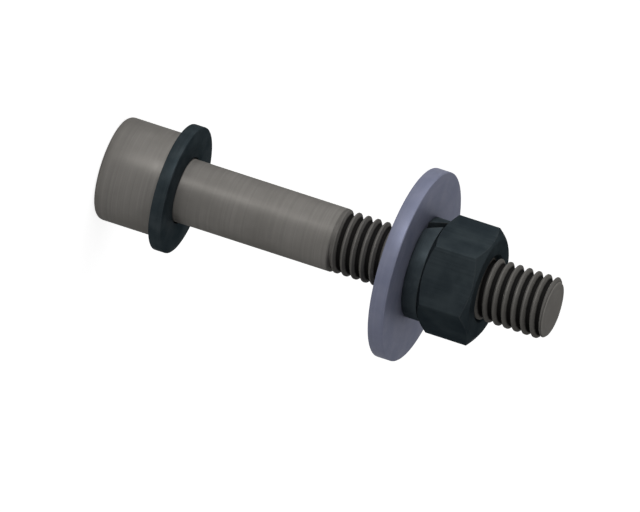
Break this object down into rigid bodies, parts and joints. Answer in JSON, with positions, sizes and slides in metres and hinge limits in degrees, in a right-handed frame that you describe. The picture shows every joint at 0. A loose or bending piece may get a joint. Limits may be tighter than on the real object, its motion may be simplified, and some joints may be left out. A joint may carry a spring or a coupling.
{
  "type": "cap screw with washers and nut",
  "caption": "Metric socket head cap screw carrying a plain washer under its head, a wide plain washer, a split lock washer and a hex nut.",
  "frame": {"origin": "centre of the top face of the screw's head, on which the set stands", "axes": "+Z along the screw's axis from its head to its threaded end, -Y towards the viewer"},
  "size_m": [0.024, 0.024, 0.058],
  "materials": {
    "screw_steel": "plain steel, lightly oiled, satin",
    "blackened_washer": "blackened steel, satin",
    "plated_washer": "blue-grey zinc plating, satin",
    "blackened_spring": "blackened spring steel, satin",
    "blackened_nut": "blackened steel, satin"
  },
  "bodies": {
    "screw": {"cap_screw": "screw_steel"},
    "head_washer": {"head_washer": "blackened_washer"},
    "lock_washer": {"lock_washer": "blackened_spring"},
    "large_washer": {"large_washer": "plated_washer"},
    "nut": {"hex_nut": "blackened_nut"}
  },
  "joints": [
    {"name": "nut_turn", "type": "hinge", "parent": "lock_washer", "child": "nut", "pos_m": [0, 0, 0.0461], "axis": [0, 0, 1], "range_deg": [-3240, 4500]},
    {"name": "nut_travel", "type": "slide", "parent": "screw", "child": "lock_washer", "axis": [0, 0, 1], "range_m": [-0.01125, 0.01562]},
    {"name": "large_washer_slide", "type": "slide", "parent": "lock_washer", "child": "large_washer", "axis": [0, 0, 1], "range_m": [-0.009, 0]},
    {"name": "head_washer_slide", "type": "slide", "parent": "screw", "child": "head_washer", "axis": [0, 0, 1], "range_m": [0, 0.008]}
  ],
  "couplings": [
    {"joint": "nut_turn", "follows": "nut_travel", "rad_per_m": 5026.5}
  ]
}
